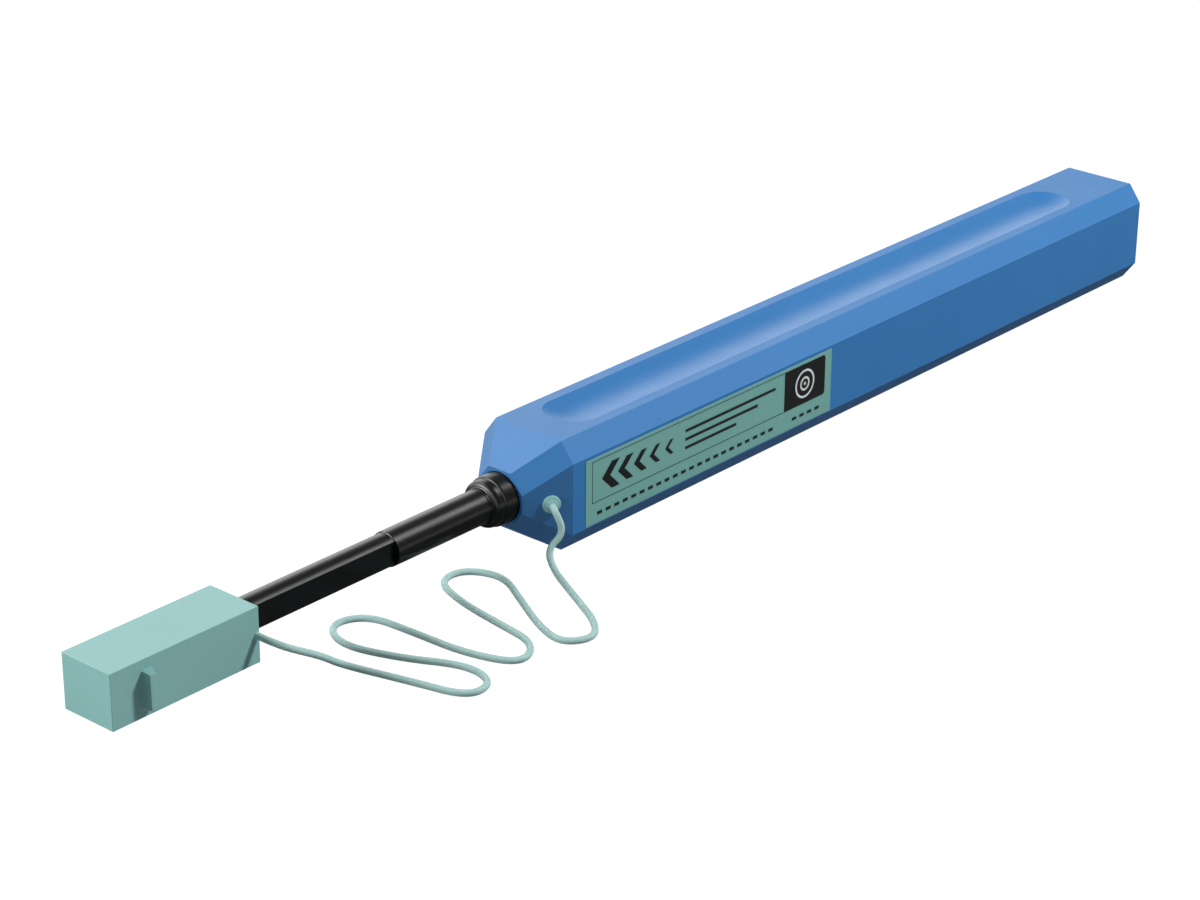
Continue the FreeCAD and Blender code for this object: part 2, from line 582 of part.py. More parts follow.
def make_spools():
    """The supply and take-up spools with their thread, and the pinion that drives the take-up."""
    thick = size["flange_thick"]
    bore = size["axle_radius"] + size["running"]
    half = size["supply_half"]
    put("supply_spool", spool_shape(-half, half), size["supply_x"], size["spool_z"])
    put("supply_thread", tube_along_y(size["supply_roll"], size["drum_radius"], thick - half, half - thick),
        size["supply_x"], size["spool_z"])
    low, high = size["takeup_near"], size["takeup_far"]
    reach_x, reach_z = size["pinion_x"] - size["takeup_x"], size["pinion_z"] - size["spool_z"]
    towards = math.atan2(reach_z, reach_x)
    # the pinion has a gap straight down; the take-up gear's tooth fills the gap that faces it
    gap = -math.pi / 2
    pitch_angle = 2 * math.pi / size["pinion_teeth"]
    seen = towards + math.pi
    nearest = gap + round((seen - gap) / pitch_angle) * pitch_angle
    tooth_at = towards - (nearest - seen) * size["pinion_teeth"] / size["takeup_teeth"]
    gear = gear_shape(int(size["takeup_teeth"]), size["gear_width"], tooth_at)
    gear.translate(Vector(0, size["gear_near"], 0))
    hub = rod_along_y(size["takeup_hub"], high - thick, size["gear_near"] + thick)
    ratchet = ratchet_shape(low - size["ratchet_thick"], low)
    through = rod_along_y(bore, -size["frame_inner"], size["frame_inner"])
    takeup = spool_shape(low, high).fuse([gear, hub, ratchet]).cut(through).removeSplitter()
    put("takeup_spool", takeup, size["takeup_x"], size["spool_z"])
    put("takeup_thread", tube_along_y(size["takeup_roll"], size["drum_radius"], low + thick, high - thick),
        size["takeup_x"], size["spool_z"])
    pinion = gear_shape(int(size["pinion_teeth"]), size["pinion_width"], gap + pitch_angle / 2)
    pinion.translate(Vector(0, size["pinion_near"], 0))
    hub = rod_along_y(size["pinion_hub"], size["hub_near"], size["gear_near"])
    put("pinion", pinion.fuse(hub).cut(through).removeSplitter(), size["pinion_x"], size["pinion_z"])


def make_ratchet_pawl():
    """The spring finger that clicks over the ratchet, drawn lifted clear of its teeth."""
    body = new_body("ratchet_pawl")
    against = "-( frame_inner )"
    start = "takeup_x - pawl_front"
    low = "spool_z + ratchet_tip + pawl_lift"
    box(body, "foot", "foot_length", "pawl_width", "foot_height",
        (start + " + pawl_length - foot_length", against, low + " + pawl_tooth - foot_height / 2"))
    box(body, "finger", "pawl_length", "pawl_width", "pawl_thick", (start, against, low + " + pawl_tooth"))
    box(body, "tooth", "pawl_thick", "pawl_width", "pawl_tooth + pawl_thick", (start, against, low))


def rounded_path(points, share=0.45):
    """Straight runs through hand-chosen points, joined by tangent arcs; returns wire and radii."""
    radii, edges = [], []
    last = points[0]
    for before, point, after in zip(points, points[1:], points[2:]):
        back, ahead = before - point, after - point
        shorter = min(back.Length, ahead.Length)
        back.normalize()
        ahead.normalize()
        half_turn = (math.pi - back.getAngle(ahead)) / 2
        trim = share * shorter
        radii.append(trim / math.tan(half_turn))
        start, end = point + back * trim, point + ahead * trim
        inward = (back + ahead).normalize()
        centre = point + inward * math.hypot(trim, radii[-1])
        middle = centre - inward * radii[-1]
        edges.append(Part.LineSegment(last, start).toShape())
        edges.append(Part.Arc(start, middle, end).toShape())
        last = end
    edges.append(Part.LineSegment(last, points[-1]).toShape())
    return Part.Wire(edges), radii


def tube_on(points, radius, name, share=0.45):
    """A round tube along a rounded path, with its length, radii and volume printed."""
    wire, radii = rounded_path(points, share)
    start = (points[1] - points[0]).normalize()
    ring = Part.Wire(Part.Circle(points[0], start, radius).toShape())
    tube = wire.makePipeShell([ring], True, False)
    section = math.pi * radius * radius
    print("%s: length %.1f, least radius %.2f, volume %.2f of %.2f" % (
        name, wire.Length, min(radii), tube.Volume, section * wire.Length))
    return tube


def make_cleaning_thread():
    """The running thread: off the supply roll, out to the tip, round it and back."""
    radius, gap = size["thread_radius"], size["slide_gap"]
    x_turn = -size["tip_back"] - size["tip_length"] - radius - 4 * gap
    x_guide, x_supply = size["guide_x"], size["supply_x"]
    supply_top = size["spool_z"] + size["supply_roll"] + radius + gap
    supply_low = size["spool_z"] - size["supply_roll"] - radius - 2 * gap
    takeup_low = size["spool_z"] - size["takeup_roll"] - radius - gap
    strand = 2 * radius
    leave = size["drum_radius"] + size["over"]
    route = [Vector(x_supply, 0, supply_top), Vector(x_supply - leave, 0, supply_top),
             Vector(x_guide, 0, strand), Vector(x_turn, 0, strand), Vector(x_turn, 0, -strand),
             Vector(x_guide, 0, -strand), Vector(x_supply - leave, 0, supply_low),
             Vector(x_supply + leave, 0, supply_low), Vector(size["takeup_x"], 0, takeup_low)]
    new_feature("cleaning_thread", tube_on(route, size["thread_radius"], "cleaning_thread"))


# ---- cap and tether -----------------------------------------------------------------------

def make_cap():
    """The square cap: a keyed socket for the nozzle and a ramped grip rib on each side."""
    body = new_body("cap")
    low_z = "-( cap_height / 2 ) - cap_drop"
    box(body, "block", "cap_front - cap_back", "cap_width", "cap_height",
        ("-( cap_front )", "-( cap_width / 2 )", low_z))
    box(body, "socket", "cap_depth + over", "2 * ( flat_half + running )", "2 * ( tip_radius + running )",
        ("-( cap_back ) - cap_depth", "-( flat_half ) - running", "-( tip_radius ) - running"), cut=True)
    for name, side in (("left", "-1"), ("right", "1")):
        wedge = outline(body, name + "_rib_section", "XY_Plane", [
            ("-( fin_front )", side + " * ( cap_width / 2 - fin_root )"),
            ("-( fin_front )", side + " * ( cap_width / 2 + fin_out )"),
            ("-( fin_front ) + fin_crest", side + " * ( cap_width / 2 + fin_out )"),
            ("-( fin_back )", side + " * ( cap_width / 2 - fin_root )")], "-( fin_low ) - cap_drop")
        pad(body, name + "_rib", wedge, "fin_low + fin_high")


FLOOR = -size["height"] / 2 + size["tether_radius"]
# the tether's route from the button, by hand: it falls to the floor and lies there in loose waves
TETHER_FRONT = [
    (-3.4, -11.2, -4.3), (-6.4, -10.0, -6.8), (-7.4, -12.4, FLOOR),
    (-10.4, -17.8, FLOOR), (-13.5, -23.6, FLOOR), (-17.0, -30.0, FLOOR), (-21.2, -33.5, FLOOR),
    (-25.9, -30.5, FLOOR), (-24.0, -24.2, FLOOR), (-19.0, -15.5, FLOOR), (-14.5, -7.8, FLOOR),
    (-17.3, -1.0, FLOOR), (-23.3, -1.2, FLOOR), (-26.2, -9.4, FLOOR), (-27.6, -18.5, FLOOR)]
TETHER_JOIN = (-28.2, -23.0, FLOOR)
TETHER_REAR = [
    (-28.8, -27.7, FLOOR), (-35.3, -30.9, FLOOR), (-38.6, -21.4, FLOOR), (-38.9, -10.9, FLOOR),
    (-39.5, -1.2, FLOOR), (-45.8, 1.4, FLOOR), (-49.8, -5.0, FLOOR), (-46.4, -15.5, FLOOR),
    (-41.2, -24.8, FLOOR), (-42.7, -31.6, FLOOR), (-48.6, -32.0, FLOOR), (-51.0, -21.6, FLOOR),
    (-54.6, -10.6, -9.1), (-59.4, -10.9, -5.5), (-65.8, -11.9, -1.6)]


def make_tether():
    """A limp cord in two nodes that meet end to end; it leaves the button and the cap's side squarely."""
    radius = size["tether_radius"]
    start = button_place().multVec(Vector(size["button_height"], 0, 0))
    away = button_place().multVec(Vector(size["button_height"] + 2 * radius, 0, 0))
    end = Vector(-size["cap_back"] - radius, -size["cap_width"] / 2, size["tether_z"])
    square = end - Vector(0, 7 * radius, 0)
    join = Vector(*TETHER_JOIN)
    front = [start, away] + [Vector(*point) for point in TETHER_FRONT] + [join]
    rear = [join] + [Vector(*point) for point in TETHER_REAR] + [square, end]
    new_feature("tether_front", tube_on(front, radius, "tether_front"))
    new_feature("tether_rear", tube_on(rear, radius, "tether_rear"))


# ---- build, check and write ---------------------------------------------------------------

make_housing()
make_end_plug()
make_drive_rail()
make_label()
make_tether_button()
make_nozzle()
make_nozzle_collar()
make_blocks()
make_frames()
make_axles()
make_brake_washer()
make_ratchet_pawl()
make_return_spring()
make_shaft()
make_cam_barrel()
make_spools()
make_cleaning_thread()
make_cap()
make_tether()
doc.recompute()

for thing in doc.Objects:
    if "Invalid" in thing.State or "Error" in thing.State:
        raise RuntimeError("%s failed: %s" % (thing.Label, thing.getStatusString()))
for node in nodes:
    if node.Shape.isNull() or not node.Shape.isValid() or not node.Shape.Solids:
        raise RuntimeError("%s has no valid solid" % node.Label)
os.makedirs("parts", exist_ok=True)
for node in nodes:
    node.Shape.exportStep("parts/%s.step" % node.Label)
    print("%-16s %9.2f mm3" % (node.Label, node.Shape.Volume))
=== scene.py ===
# %% [markdown]
# A fibre connector cleaning pen. Its nozzle is pushed against a connector and slides into the
# housing, while a thread inside wipes the fibre's end face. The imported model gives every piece
# its place and size, so the first step loads it and keeps its box. Blender works in metres, in
# that frame: the pen lies along X with its nozzle towards -X, and the floor is z = 0.

# %% Frame
import bpy
import json
import math
from mathutils import Matrix, Vector


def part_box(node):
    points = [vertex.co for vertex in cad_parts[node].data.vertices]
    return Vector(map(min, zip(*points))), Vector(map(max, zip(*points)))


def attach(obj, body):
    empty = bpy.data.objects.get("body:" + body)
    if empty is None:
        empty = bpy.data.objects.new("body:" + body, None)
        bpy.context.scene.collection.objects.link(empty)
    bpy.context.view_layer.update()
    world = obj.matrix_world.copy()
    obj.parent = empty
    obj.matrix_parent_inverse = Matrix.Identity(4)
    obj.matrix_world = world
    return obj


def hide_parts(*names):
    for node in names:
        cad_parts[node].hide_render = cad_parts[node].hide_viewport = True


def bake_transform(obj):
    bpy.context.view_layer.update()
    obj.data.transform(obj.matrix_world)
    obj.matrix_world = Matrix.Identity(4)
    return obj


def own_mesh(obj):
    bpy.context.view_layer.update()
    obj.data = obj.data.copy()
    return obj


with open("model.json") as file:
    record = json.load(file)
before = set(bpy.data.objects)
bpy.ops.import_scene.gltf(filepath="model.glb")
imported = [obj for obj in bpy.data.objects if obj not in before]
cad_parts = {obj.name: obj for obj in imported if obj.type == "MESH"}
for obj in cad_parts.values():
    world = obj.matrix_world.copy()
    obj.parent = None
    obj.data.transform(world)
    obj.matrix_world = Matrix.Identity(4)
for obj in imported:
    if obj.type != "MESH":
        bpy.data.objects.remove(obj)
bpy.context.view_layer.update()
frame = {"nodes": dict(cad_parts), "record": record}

MM = 0.001
LENGTH = 172.8
HOUSING_LOW, HOUSING_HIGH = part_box("housing")
AXIS_Z = (HOUSING_LOW.z + HOUSING_HIGH.z) / 2
FRONT = HOUSING_HIGH.x - LENGTH * MM
print("prism begins at x = %.4f m, axis at z = %.4f m" % (FRONT, AXIS_Z))


def at(x, y, z):
    """A point given in millimetres from the prism's front end, on the housing's axis."""
    return Vector((FRONT + x * MM, y * MM, AXIS_Z + z * MM))


# %% [markdown]
# The camera is set before any modelling, so that each piece can be judged from where the
# pen is mostly seen: from the nozzle's side, looking down about 24 degrees, with a long lens.
# A long lens from far away keeps the housing's long edges nearly parallel.

# %% Camera
CAMERA_TURN = math.radians(-48.93)
CAMERA_RISE = math.radians(24.16)
CAMERA_ROLL = math.radians(0.39)
CAMERA_REACH = 550.67
CAMERA_AIM = (18.24, 0, 0.10)
LENS = 95.99
SENSOR = 36.0

back = Vector((math.sin(CAMERA_TURN) * math.cos(CAMERA_RISE),
               -math.cos(CAMERA_TURN) * math.cos(CAMERA_RISE), math.sin(CAMERA_RISE)))
level = Vector((math.cos(CAMERA_TURN), math.sin(CAMERA_TURN), 0))
upright = back.cross(level)
right = level * math.cos(CAMERA_ROLL) + upright * math.sin(CAMERA_ROLL)
up = upright * math.cos(CAMERA_ROLL) - level * math.sin(CAMERA_ROLL)
stand = at(*CAMERA_AIM) + back * CAMERA_REACH * MM

camera_data = bpy.data.cameras.new("camera")
camera_data.lens = LENS
camera_data.sensor_width = SENSOR
camera_data.clip_start = 0.01
camera = bpy.data.objects.new("camera", camera_data)
bpy.context.scene.collection.objects.link(camera)
camera.matrix_world = Matrix((
    (right.x, up.x, back.x, stand.x), (right.y, up.y, back.y, stand.y),
    (right.z, up.z, back.z, stand.z), (0, 0, 0, 1)))
bpy.context.scene.camera = camera
bpy.context.scene.view_settings.view_transform = "Standard"
print("camera at %.3f, %.3f, %.3f m" % tuple(stand))

# %% [markdown]
# Every piece is modelled as by hand, so a few helpers hold the steps that each one needs.
# The loaded nodes are selected, so everything is deselected before an operator runs. Edit
# mode is entered with the whole mesh selected, because most operators act on what is
# selected. A modifier is applied at once, so that the finished mesh holds its whole shape.

# %% Selecting and editing


def deselect_all():
    """Leave edit mode and nothing selected."""
    if bpy.context.object and bpy.context.object.mode != "OBJECT":
        bpy.ops.object.mode_set(mode="OBJECT")
    bpy.ops.object.select_all(action="DESELECT")


def make_active(piece):
    """Select one piece only, as a click on it does."""
    deselect_all()
    piece.select_set(True)
    bpy.context.view_layer.objects.active = piece


def edit_all(piece):
    """Enter edit mode with the piece's whole mesh selected."""
    make_active(piece)
    bpy.ops.object.mode_set(mode="EDIT")
    bpy.ops.mesh.select_all(action="SELECT")


def leave_edit():
    """Go back to object mode, which writes the edits into the mesh."""
    bpy.ops.object.mode_set(mode="OBJECT")


def smooth_below(piece, angle):
    """Shade edges as smooth where their faces meet at less than that angle in degrees."""
    make_active(piece)
    bpy.ops.object.shade_smooth_by_angle(angle=math.radians(angle))


def modify(piece, kind, **settings):
    """Add one modifier and apply it."""
    make_active(piece)
    modifier = piece.modifiers.new(kind.lower(), kind)
    for name, value in settings.items():
        setattr(modifier, name, value)
    bpy.ops.object.modifier_apply(modifier=modifier.name)


def cut(piece, tool, operation="DIFFERENCE"):
    """Cut the piece with the tool, or join them, and throw the tool away."""
    modify(piece, "BOOLEAN", operation=operation, solver="EXACT", object=tool)
    bpy.data.objects.remove(tool)


def soften(piece, width, segments=3, angle=20):
    """Round the edges as a mould or a cutter leaves them, and shade the flats as flats."""
    modify(piece, "BEVEL", width=width * MM, segments=segments, limit_method="ANGLE",
           angle_limit=math.radians(angle), harden_normals=True, use_clamp_overlap=True,
           miter_outer="MITER_ARC")
    smooth_below(piece, 32)
    modify(piece, "WEIGHTED_NORMAL", weight=100, keep_sharp=True)


def count_faces(piece):
    """Print the size of a finished mesh."""
    print("%s: %d faces" % (piece.name, len(piece.data.polygons)))


# %% [markdown]
# Pieces start in one of three ways. A rod and a brick are primitives added at their size and
# place. A turned piece starts as a profile and is spun round the pen's axis, as a lathe does,
# which gives every shoulder and groove at once. All take their sizes in millimetres.

# %% Starting shapes


def named(name):
    """Take the primitive just added, and put its place and turn into its mesh."""
    piece = bpy.context.object
    piece.name = name
    piece.data.name = name
    bpy.ops.object.transform_apply(location=True, rotation=True, scale=True)
    return piece


def rod(name, radius, front, back_end, y=0.0, z=0.0, sides=96):
    """A round rod along X between two distances from the prism's front."""
    deselect_all()
    bpy.ops.mesh.primitive_cylinder_add(
        vertices=sides, radius=radius * MM, depth=(back_end - front) * MM,
        location=at((front + back_end) / 2, y, z), rotation=(0, math.pi / 2, 0))
    return named(name)


def brick(name, low, high):
    """A box between two corners."""
    deselect_all()
    middle = [(a + b) / 2 for a, b in zip(low, high)]
    bpy.ops.mesh.primitive_cube_add(size=1, location=at(*middle),
                                    scale=[(b - a) * MM for a, b in zip(low, high)])
    return named(name)


def drawn(name, corners, edges, faces):
    """A new mesh from corners that are given in metres."""
    mesh = bpy.data.meshes.new(name)
    mesh.from_pydata(corners, edges, faces)
    piece = bpy.data.objects.new(name, mesh)
    bpy.context.scene.collection.objects.link(piece)
    return piece


def turned(name, profile, sides=96):
    """A lathe piece about the pen's axis; the profile is a list of (x, radius)."""
    corners = [at(x, 0, radius) for x, radius in profile]
    piece = drawn(name, corners, [(i, i + 1) for i in range(len(corners) - 1)], [])
    edit_all(piece)
    bpy.ops.mesh.spin(steps=sides, angle=2 * math.pi, center=at(0, 0, 0), axis=(1, 0, 0))
    bpy.ops.mesh.remove_doubles(threshold=1e-6)
    bpy.ops.mesh.normals_make_consistent(inside=False)
    leave_edit()
    return piece


# %% [markdown]
# The tether is a limp vinyl cord, and it shows how it was thrown down, so its route comes
# first. It is a smooth spline through control points: out of the button, down to the
# floor, and in loose waves back to the cap. It is one cord in two pieces, because the
# nozzle slides into the housing and the cap comes off.

# %% Tether route
CORD = 1.16
LOW = -10 + CORD / 2
BUTTON_HEIGHT = 0.9
BUTTON_OUT = Vector((-5.0, -7.1, 0)).normalized()
BUTTON_FOOT = Vector((-3.0, -7.89, -0.3))
CORD_START = BUTTON_FOOT + BUTTON_HEIGHT * BUTTON_OUT
CAP_EYE = (-67.48, -5.4, -0.76)
JOIN = (-28.2, -23.0, LOW)
FRONT_ROUTE = [
    CORD_START, CORD_START + CORD * BUTTON_OUT, (-3.4, -11.2, -4.3), (-6.4, -10.0, -6.8),
    (-7.4, -12.4, LOW), (-10.4, -17.8, LOW), (-13.5, -23.6, LOW), (-17.0, -30.0, LOW),
    (-21.2, -33.5, LOW), (-25.9, -30.5, LOW), (-24.0, -24.2, LOW), (-19.0, -15.5, LOW),
    (-14.5, -7.8, LOW), (-17.3, -1.0, LOW), (-23.3, -1.2, LOW), (-26.2, -9.4, LOW),
    (-27.6, -18.5, LOW), JOIN]
REAR_ROUTE = [
    JOIN, (-28.8, -27.7, LOW), (-35.3, -30.9, LOW), (-38.6, -21.4, LOW), (-38.9, -10.9, LOW),
    (-39.5, -1.2, LOW), (-45.8, 1.4, LOW), (-49.8, -5.0, LOW), (-46.4, -15.5, LOW),
    (-41.2, -24.8, LOW), (-42.7, -31.6, LOW), (-48.6, -32.0, LOW), (-51.0, -21.6, LOW),
    (-54.6, -10.6, -9.1), (-59.4, -10.9, -5.5), (-65.8, -11.9, -1.6), (-67.48, -9.46, -0.76),
    CAP_EYE]
print("route: %d and %d control points" % (len(FRONT_ROUTE), len(REAR_ROUTE)))

# %% [markdown]
# A curve with a bevel gives a round tube along the spline, and it is turned into a mesh. The
# same spline without a bevel gives the line that the tube follows, and its length is the
# cord's length.

# %% Tether pieces


def spline_curve(name, route, bevel=0.0):
    """A smooth curve object whose control points are the route."""
    curve = bpy.data.curves.new(name, "CURVE")
    curve.dimensions = "3D"
    curve.resolution_u = 12
    curve.bevel_depth = bevel
    curve.bevel_resolution = 7
    curve.use_fill_caps = True
    spline = curve.splines.new("NURBS")
    spline.points.add(len(route) - 1)
    for point, corner in zip(spline.points, route):
        point.co = (*at(*corner), 1)
    spline.order_u = 3
    spline.use_endpoint_u = True
    return bpy.data.objects.new(name, curve)


def cord_tube(name, route):
    """A mesh tube on the route, and the points of the route's own spline."""
    line = spline_curve(name + "_line", route)
    bpy.context.scene.collection.objects.link(line)
    plain = bpy.data.meshes.new_from_object(line)
    path = [vertex.co.copy() for vertex in plain.vertices]
    bpy.data.objects.remove(line)
    bpy.data.meshes.remove(plain)
    tube = spline_curve(name + "_tube", route, CORD / 2 * MM)
    bpy.context.scene.collection.objects.link(tube)
    mesh = bpy.data.meshes.new_from_object(tube)
    bpy.data.objects.remove(tube)
    mesh.name = name
    piece = bpy.data.objects.new(name, mesh)
    bpy.context.scene.collection.objects.link(piece)
    smooth_below(piece, 50)
    run = sum((b - a).length for a, b in zip(path, path[1:]))
    print("%s: %.1f mm long, %d points" % (name, run / MM, len(path)))
    return piece, path, run


tether_nose, nose_path, nose_run = cord_tube("tether_cord_nose", FRONT_ROUTE)
tether_cap, cap_path, cap_run = cord_tube("tether_cord_cap", REAR_ROUTE)

# %% [markdown]
# The housing is an injection-moulded ABS shell with eight flat sides. A cylinder of eight
# sides would have them all equal, so it starts as a box instead, and four slanting bisect
# cuts make the chamfers at their real width.

# %% Housing prism
WIDE, TALL = 20.0, 20.0
FLAT_TOP, FLAT_SIDE = 14.7, 12.95
CHAMFER_OUT = Vector((0, TALL - FLAT_SIDE, WIDE - FLAT_TOP)).normalized()


def slant_corners(piece, inset):
    """Cut the four long corners along the housing's chamfers, moved in by that much."""
    for side_y in (1, -1):
        for side_z in (1, -1):
            edit_all(piece)
            bpy.ops.mesh.bisect(
                plane_co=at(0, side_y * (FLAT_TOP / 2 - inset * CHAMFER_OUT.y),
                            side_z * (TALL / 2 - inset * CHAMFER_OUT.z)),
                plane_no=(0, side_y * CHAMFER_OUT.y, side_z * CHAMFER_OUT.z),
                use_fill=True, clear_outer=True, clear_inner=False, threshold=1e-7)
            leave_edit()


housing = brick("housing_shell", (0, -WIDE / 2, -TALL / 2), (LENGTH, WIDE / 2, TALL / 2))
slant_corners(housing, 0)
count_faces(housing)

# %% [markdown]
# The nose narrows to a smaller eight-sided mouth round the nozzle. The front face is
# extruded forwards and its corners are drawn in to the mouth, which keeps every facet of the
# nose flat, as the mould makes them.

# %% Housing nose
NOSE = 7.1
MOUTH_REACH, MOUTH_TOP, MOUTH_SIDE = 5.0, 2.5, 1.67

make_active(housing)
for polygon in housing.data.polygons:
    polygon.select = polygon.normal.x < -0.99
for edge in housing.data.edges:
    edge.select = False
for vertex in housing.data.vertices:
    vertex.select = False
bpy.ops.object.mode_set(mode="EDIT")
bpy.ops.mesh.select_mode(type="FACE")
bpy.ops.mesh.extrude_region_move(TRANSFORM_OT_translate={"value": (-NOSE * MM, 0, 0)})
leave_edit()
near_mouth = at(-NOSE + 0.5, 0, 0).x
for vertex in housing.data.vertices:
    if vertex.co.x < near_mouth:
        on_top = abs(vertex.co.z - AXIS_Z) > (TALL / 2 - 0.1) * MM
        reach_y, reach_z = (MOUTH_TOP, MOUTH_REACH) if on_top else (MOUTH_REACH, MOUTH_SIDE)
        vertex.co.y = math.copysign(reach_y * MM, vertex.co.y)
        vertex.co.z = AXIS_Z + math.copysign(reach_z * MM, vertex.co.z - AXIS_Z)
edit_all(housing)
bpy.ops.mesh.remove_doubles(threshold=1e-6)
bpy.ops.mesh.normals_make_consistent(inside=False)
leave_edit()
count_faces(housing)

# %% [markdown]
# The thumb recess is a long shallow trough with round ends. A ball of the trough's radius is
# parted at its middle and stretched along the pen, and then cuts it in one stroke.

# %% Thumb recess
RECESS_FRONT, RECESS_BACK, RECESS_HALF, RECESS_DEEP = 6.0, 157.6, 5.3, 1.2
ball = (RECESS_HALF ** 2 + RECESS_DEEP ** 2) / (2 * RECESS_DEEP)
deselect_all()
bpy.ops.mesh.primitive_uv_sphere_add(
    segments=144, ring_count=72, radius=ball * MM, rotation=(0, math.pi / 2, 0),
    location=at(RECESS_FRONT + RECESS_HALF, 0, TALL / 2 - RECESS_DEEP + ball))
trough = named("thumb_trough")
middle_x = at(RECESS_FRONT + RECESS_HALF, 0, 0).x
for vertex in trough.data.vertices:
    if vertex.co.x > middle_x + 1e-6:
        vertex.co.x += (RECESS_BACK - RECESS_FRONT - 2 * RECESS_HALF) * MM
cut(housing, trough)
print("recess cut with a ball of %.1f mm radius" % ball)

# %% [markdown]
# The shell is hollow: the nozzle slides in a round bore in the nose, and the mechanism lies
# in a cavity with the same eight sides, one wall's thickness inside. Both are cut right
# through their ends, because a cut that stops exactly on a face leaves slivers. A bevel then
# rounds every edge a little, which is what catches the light along a moulded edge.

# %% Bore and cavity
BORE, BORE_BACK = 4.55, 4
WALL, ROOF, CAVITY_FRONT, OVER = 1.6, 7.2, 2.0, 1
INNER = WIDE / 2 - WALL
cut(housing, rod("nose_bore", BORE, -NOSE - OVER, BORE_BACK))
cavity = brick("cavity", (CAVITY_FRONT, -INNER, -INNER), (LENGTH + OVER, INNER, ROOF))
slant_corners(cavity, WALL)
cut(housing, cavity)
soften(housing, 0.22, angle=18)
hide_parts("housing")
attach(housing, "housing")
count_faces(housing)

# %% [markdown]
# The back end is closed by a plug that sits flush in the housing. Its plate gets the small
# rounding of a moulded edge, so that the seam round it reads as a fine dark line. The tower
# and the spigot behind the plate hold the return spring.

# %% End plug
GAP, PLATE = 0.03, 6
TOWER, TOWER_RADIUS = 150.0, 5.6
SPIGOT_REACH, SPIGOT_RADIUS = 9, 3.45
plug = brick("plug_plate", (LENGTH - PLATE, GAP - INNER, GAP - INNER),
             (LENGTH, INNER - GAP, ROOF - GAP))
slant_corners(plug, WALL + GAP)
cut(plug, rod("plug_tower", TOWER_RADIUS, TOWER, LENGTH - PLATE / 2), "UNION")
cut(plug, rod("plug_spigot", SPIGOT_RADIUS, TOWER - SPIGOT_REACH, TOWER + 2), "UNION")
soften(plug, 0.15, angle=25)
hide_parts("end_plug")
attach(plug, "housing")
count_faces(plug)

# %% [markdown]
# The return spring is one wire wound in eight coils. A circle of the wire's size is moved
# off the axis and swept by a screw modifier, which keeps the wire round. In the pen it shortens
# towards the plug as the nozzle is pushed in, by the 11 mm of the stroke; here it has one
# length only.

# %% Return spring
SEAT, STROKE = 104.0, 11.0
MEAN, WIRE, COILS, END_GAP = 4.4, 0.45, 8, 0.05
spring_front = SEAT + WIRE + END_GAP
spring_pitch = (TOWER - WIRE - END_GAP - spring_front) / COILS
deselect_all()
bpy.ops.mesh.primitive_circle_add(vertices=16, radius=WIRE * MM, fill_type="NOTHING")
spring = named("spring_coil")
edit_all(spring)
bpy.ops.transform.translate(value=(0, MEAN * MM, 0))
leave_edit()
modify(spring, "SCREW", axis="X", angle=2 * math.pi, screw_offset=spring_pitch * MM,
       iterations=COILS, steps=48, render_steps=48, use_merge_vertices=False)
edit_all(spring)
bpy.ops.mesh.remove_doubles(threshold=1e-7)
bpy.ops.mesh.fill_holes(sides=0)
bpy.ops.mesh.select_all(action="SELECT")
bpy.ops.mesh.normals_make_consistent(inside=False)
leave_edit()
spring.location = at(spring_front, 0, 0)
bpy.ops.object.transform_apply(location=True, rotation=True, scale=True)
smooth_below(spring, 50)
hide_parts("return_spring")
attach(spring, "housing")
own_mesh(spring)
count_faces(spring)

# %% [markdown]
# The nozzle is one black acetal tube: round where it enters the collar, then a little
# slimmer and flat on two sides, so that it enters a connector port only one way up. It is
# turned first and its two flats are cut afterwards, as a machinist would do it.

# %% Nozzle
TUBE, TIP_TUBE, TUBE_BORE, TUBE_BACK = 3.06, 2.86, 1.4, 14.0
TIP, FLAT_START, FLAT_HALF = 87.9, 34.0, 2.0
nozzle = turned("nozzle_tube", [
    (TUBE_BACK, TUBE_BORE), (TUBE_BACK, TUBE), (-FLAT_START, TUBE),
    (-FLAT_START - 0.12, TIP_TUBE), (-TIP, TIP_TUBE), (-TIP, TUBE_BORE),
    (TUBE_BACK, TUBE_BORE)], 128)
for side in (1, -1):
    low_y, high_y = sorted((side * FLAT_HALF, side * (TUBE + 1)))
    cut(nozzle, brick("nozzle_flat", (-TIP - 1, low_y, -TUBE - 1),
                      (-FLAT_START, high_y, TUBE + 1)))
soften(nozzle, 0.10, angle=30)
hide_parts("nozzle")
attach(nozzle, "carriage")
count_faces(nozzle)

# %% [markdown]
# The collar is a turned ring on the nozzle: a full ring that slides in the nose's bore, a
# shallow step, a rounded shoulder and a thin sleeve along the tube. The shoulder's points lie
# close together, so that the light rolls over it without a corner.

# %% Collar
COLLAR, COLLAR_BACK, SLEEVE_FRONT = 4.45, 3.0, -12.55
collar = turned("collar_ring", [
    (COLLAR_BACK, TUBE), (COLLAR_BACK, COLLAR), (-9.7, COLLAR), (-9.88, COLLAR - 0.05),
    (-10.0, COLLAR - 0.16), (-10.06, COLLAR - 0.28), (-10.2, COLLAR - 0.3),
    (-10.9, COLLAR - 0.3), (-11.25, COLLAR - 0.35), (-11.52, COLLAR - 0.48),
    (-11.72, COLLAR - 0.7), (-11.83, COLLAR - 0.95), (-11.86, COLLAR - 1.16),
    (-11.92, TUBE + 0.13), (-12.45, TUBE + 0.11), (SLEEVE_FRONT, TUBE + 0.05),
    (SLEEVE_FRONT, TUBE), (COLLAR_BACK, TUBE)])
smooth_below(collar, 28)
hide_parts("nozzle_collar")
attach(collar, "carriage")
count_faces(collar)

